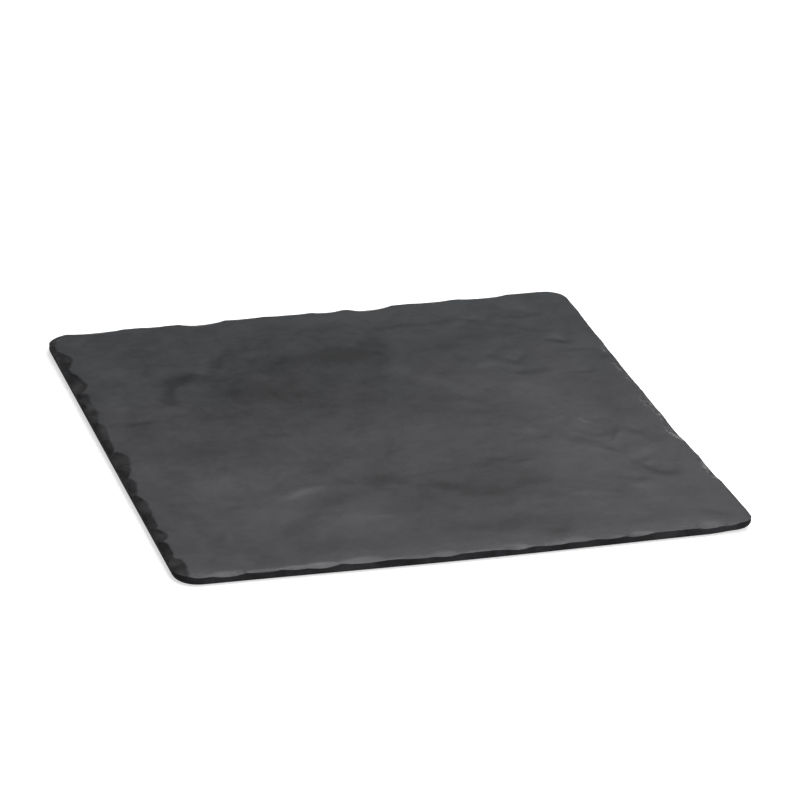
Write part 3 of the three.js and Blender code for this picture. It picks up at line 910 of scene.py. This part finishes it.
class Nodes:
    """A new material with short ways to add and join its nodes."""

    # The sockets of a mix node that are for colours
    MIX_SHARE = 0
    MIX_A = 6
    MIX_B = 7
    MIX_RESULT = 2

    def __init__(self, name):
        self.material = bpy.data.materials.new(name)
        self.material.use_nodes = True
        self.tree = self.material.node_tree
        self.tree.nodes.clear()
        self.output = self.tree.nodes.new("ShaderNodeOutputMaterial")

    def add(self, kind, **inputs):
        node = self.tree.nodes.new("ShaderNode" + kind)
        for key, value in inputs.items():
            self.set(node, key.replace("_", " "), value)
        return node

    def set(self, node, key, value):
        socket = node.inputs[key]
        if isinstance(value, bpy.types.NodeSocket):
            self.tree.links.new(value, socket)
        else:
            socket.default_value = value

    def attribute(self, name):
        node = self.add("Attribute")
        node.attribute_name = name
        return node.outputs["Fac"]

    def place(self):
        return self.add("TexCoord").outputs["Object"]

    def noise(self, place, size, detail, roughness, distortion):
        """Noise whose bumps are about size millimetres across."""
        node = self.add("TexNoise", Vector=place, Scale=1 / (size * MM), Detail=detail,
                        Roughness=roughness, Distortion=distortion)
        return node.outputs["Fac"]

    def remap(self, value, span, new_span=(0, 1)):
        """A value's place in a span, as a smooth one in a new span."""
        node = self.add("MapRange", Value=value, From_Min=span[0], From_Max=span[1],
                        To_Min=new_span[0], To_Max=new_span[1])
        node.interpolation_type = "SMOOTHSTEP"
        return node.outputs["Result"]

    def maths(self, operation, a, b):
        node = self.add("Math")
        node.operation = operation
        self.set(node, 0, a)
        self.set(node, 1, b)
        return node.outputs["Value"]

    def times(self, a, b):
        return self.maths("MULTIPLY", a, b)

    def total(self, first, *others):
        for other in others:
            first = self.maths("ADD", first, other)
        return first

    def mix(self, share, a, b):
        node = self.add("Mix")
        node.data_type = "RGBA"
        self.set(node, self.MIX_SHARE, share)
        self.set(node, self.MIX_A, a)
        self.set(node, self.MIX_B, b)
        return node.outputs[self.MIX_RESULT]

    def scale(self, colour, share):
        node = self.add("VectorMath")
        node.operation = "SCALE"
        self.set(node, "Vector", colour)
        self.set(node, "Scale", share)
        return node.outputs["Vector"]

    def length(self, vector):
        node = self.add("VectorMath", Vector=vector)
        node.operation = "LENGTH"
        return node.outputs["Value"]

    def bump(self, height, distance, strength, normal=None):
        node = self.add("Bump", Height=height, Distance=distance * MM, Strength=strength)
        if normal is not None:
            self.set(node, "Normal", normal)
        return node.outputs["Normal"]

    def finish(self, **inputs):
        shader = self.add("BsdfPrincipled", **inputs)
        self.tree.links.new(shader.outputs["BSDF"], self.output.inputs["Surface"])
        return self.material


def slate_light(m, values, layers):
    """How light the slate is, from its mottling and from the patches, painted shade and painted light of
    its forms.
    """
    light = m.total(
        m.remap(layers["cloud"], NOISE_RANGE, (1 - CLOUD_CONTRAST, 1 + CLOUD_CONTRAST)),
        m.times(values["tone"], TONE_AND_SHADE_STEP),
        m.remap(layers["mottle"], NOISE_RANGE, (-MOTTLE_CONTRAST, MOTTLE_CONTRAST)),
        m.remap(layers["fleck"], NOISE_RANGE, (-FLECK_CONTRAST, FLECK_CONTRAST)),
    )
    return m.maths("MAXIMUM", light, LEAST_LIGHT)


def slate_colour(m, place, values, layers):
    """The slate's colour, with its specks, the painted shade of its chipped faces and walls, and its
    painted glints.
    """
    backward = m.add("SeparateXYZ", Vector=place).outputs["Y"]
    coolness = m.total(layers["tint"], m.times(backward, TINT_SPREAD))
    colour = m.mix(m.remap(coolness, TINT_RANGE), WARM_SLATE, COOL_SLATE)
    colour = m.mix(m.remap(layers["speck"], SPECK_RANGE, SPECK_SHARES), colour, SPECK_GREY)
    # painted shade on the broken faces of the chips, most on the left side
    facet_shade = m.mix(m.remap(layers["mottle"], FACET_SHADE_RANGE), FACET_SHADE_DARK, FACET_SHADE_LIGHT)
    colour = m.mix(m.times(values["facet"], FACET_SHADE_SHARE), colour, facet_shade)
    # painted shade on the wall
    wall_shade = m.times(values["wall"], m.remap(layers["mottle"], WALL_SHADE_RANGE, WALL_SHADE_SHARES))
    colour = m.mix(wall_shade, colour, WALL_SHADE)
    colour = m.scale(colour, slate_light(m, values, layers))
    # painted glints on the lips of the chips
    glint_share = m.times(values["scuff"], m.remap(layers["grain"], GLINT_RANGE, GLINT_SHARES))
    return m.mix(glint_share, colour, GLINT_PALE)


def slate_material():
    m = Nodes("slate_melamine")
    place = m.place()
    values = {key: m.attribute(key) for key in SKIN_KEYS}
    layers = {key: m.noise(place, *row) for key, row in SLATE_NOISE.items()}
    roughness = m.total(
        m.remap(layers["mottle"], NOISE_RANGE, SLATE_ROUGHNESS),
        m.remap(layers["grain"], NOISE_RANGE, GRAIN_ROUGHNESS),
        m.times(values["wall"], WALL_ROUGHNESS),
        m.times(values["facet"], BROKEN_ROUGHNESS),
    )
    specular = m.total(SLATE_SPECULAR, m.times(values["wall"], WALL_SPECULAR), values["shine"])
    normal = None
    for key, distance in SLATE_BUMPS.items():
        normal = m.bump(layers[key], distance, SLATE_BUMP_STRENGTH, normal)
    return m.finish(Base_Color=slate_colour(m, place, values, layers), Roughness=roughness,
                    Specular_IOR_Level=specular, Normal=normal)


def rubber_material():
    m = Nodes("foot_rubber")
    place = m.place()
    grain = m.noise(place, *RUBBER_GRAIN)
    cloud = m.noise(place, *RUBBER_CLOUD)
    return m.finish(Base_Color=m.mix(m.remap(cloud, NOISE_RANGE), RUBBER_DARK, RUBBER_LIGHT),
                    Roughness=m.remap(grain, NOISE_RANGE, RUBBER_ROUGHNESS),
                    Specular_IOR_Level=SOFT_SPECULAR,
                    Normal=m.bump(grain, SOFT_BUMP, RUBBER_BUMP_STRENGTH))


def foam_material():
    m = Nodes("adhesive_foam")
    cells = m.add("TexVoronoi", Vector=m.place(), Scale=1 / (FOAM_CELL * MM)).outputs["Distance"]
    return m.finish(Base_Color=m.mix(m.remap(cells, FOAM_RANGE), FOAM_DARK, FOAM_LIGHT),
                    Roughness=m.remap(cells, FOAM_RANGE, FOAM_ROUGHNESS),
                    Specular_IOR_Level=SOFT_SPECULAR,
                    Normal=m.bump(cells, SOFT_BUMP, FOAM_BUMP_STRENGTH))


def floor_material():
    m = Nodes("floor_paint")
    light = m.add("LightPath")
    seen = m.maths("MAXIMUM", light.outputs["Is Camera Ray"], light.outputs["Is Glossy Ray"])
    seen = m.maths("MAXIMUM", seen, light.outputs["Is Transmission Ray"])
    glow = m.remap(m.length(m.place()), GLOW_DISTANCES, GLOW_STRENGTHS)
    return m.finish(Base_Color=FLOOR_GREY, Roughness=FLOOR_ROUGHNESS, Specular_IOR_Level=0.0,
                    Emission_Color=WHITE, Emission_Strength=m.times(seen, glow))


def new_object(name, data):
    made = bpy.data.objects.new(name, data)
    bpy.context.scene.collection.objects.link(made)
    return made


def new_piece(name, mesh, node, material):
    piece = new_object(name, mesh)
    mesh.materials.append(material)
    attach(piece, BODY)
    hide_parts(node)


def build_platter():
    slate, rubber, foam = slate_material(), rubber_material(), foam_material()
    new_piece("riven_slab", slab_mesh(), "slab", slate)
    for name in CORNER_NAMES:
        for part, profile, slot, material in (
            ("foot", foot_profile, "foot_rubber", rubber),
            ("adhesive_disc", disc_profile, "adhesive_foam", foam),
        ):
            node = f"{name}_{part}"
            low, high = node_box(node)
            shape = profile(low[2], high[2], (high - low)[0] / 2)
            mesh = lathe_mesh(f"{node}_skin", (low + high)[:2] / 2, shape)
            new_piece(f"{node}_skin", mesh, node, material)


def build_floor():
    half = FLOOR_HALF
    mesh = bpy.data.meshes.new("floor")
    mesh.from_pydata(
        [(-half, -half, 0), (half, -half, 0), (half, half, 0), (-half, half, 0)], [], [(0, 1, 2, 3)])
    mesh.materials.append(floor_material())
    floor = new_object("floor", mesh)


def build_lights():
    world = bpy.data.worlds.new("studio")
    bpy.context.scene.world = world
    world.use_nodes = True
    background = world.node_tree.nodes["Background"]
    background.inputs["Color"].default_value = WHITE
    background.inputs["Strength"].default_value = SURROUNDING_LIGHT
    for name, (place, size, power) in SOFTBOXES.items():
        lamp = bpy.data.lights.new(name, "AREA")
        lamp.size = size
        lamp.energy = power
        holder = new_object(name, lamp)
        holder.location = place
        holder.rotation_mode = "QUATERNION"
        holder.rotation_quaternion = (-Vector(place)).to_track_quat("-Z", "Y")


def build_camera():
    yaw, pitch, roll = (math.radians(a) for a in (CAMERA_YAW, CAMERA_PITCH, CAMERA_ROLL))
    forward = Vector((math.sin(yaw) * math.cos(pitch), math.cos(yaw) * math.cos(pitch), -math.sin(pitch)))
    level = Vector((math.cos(yaw), -math.sin(yaw), 0))
    rise = level.cross(forward)
    right = math.cos(roll) * level + math.sin(roll) * rise
    up = math.cos(roll) * rise - math.sin(roll) * level
    place = (CAMERA_AIM_RIGHT * right + CAMERA_AIM_UP * up - CAMERA_DISTANCE * forward) * MM
    data = bpy.data.cameras.new("camera")
    data.sensor_width = CAMERA_SENSOR
    data.lens = CAMERA_LENS
    camera = new_object("camera", data)
    axes = Matrix((right, up, -forward)).transposed()
    camera.matrix_world = Matrix.Translation(place) @ axes.to_4x4()
    bpy.context.scene.camera = camera


build_platter()
build_floor()
build_lights()
build_camera()
bpy.context.scene.view_settings.view_transform = "Standard"
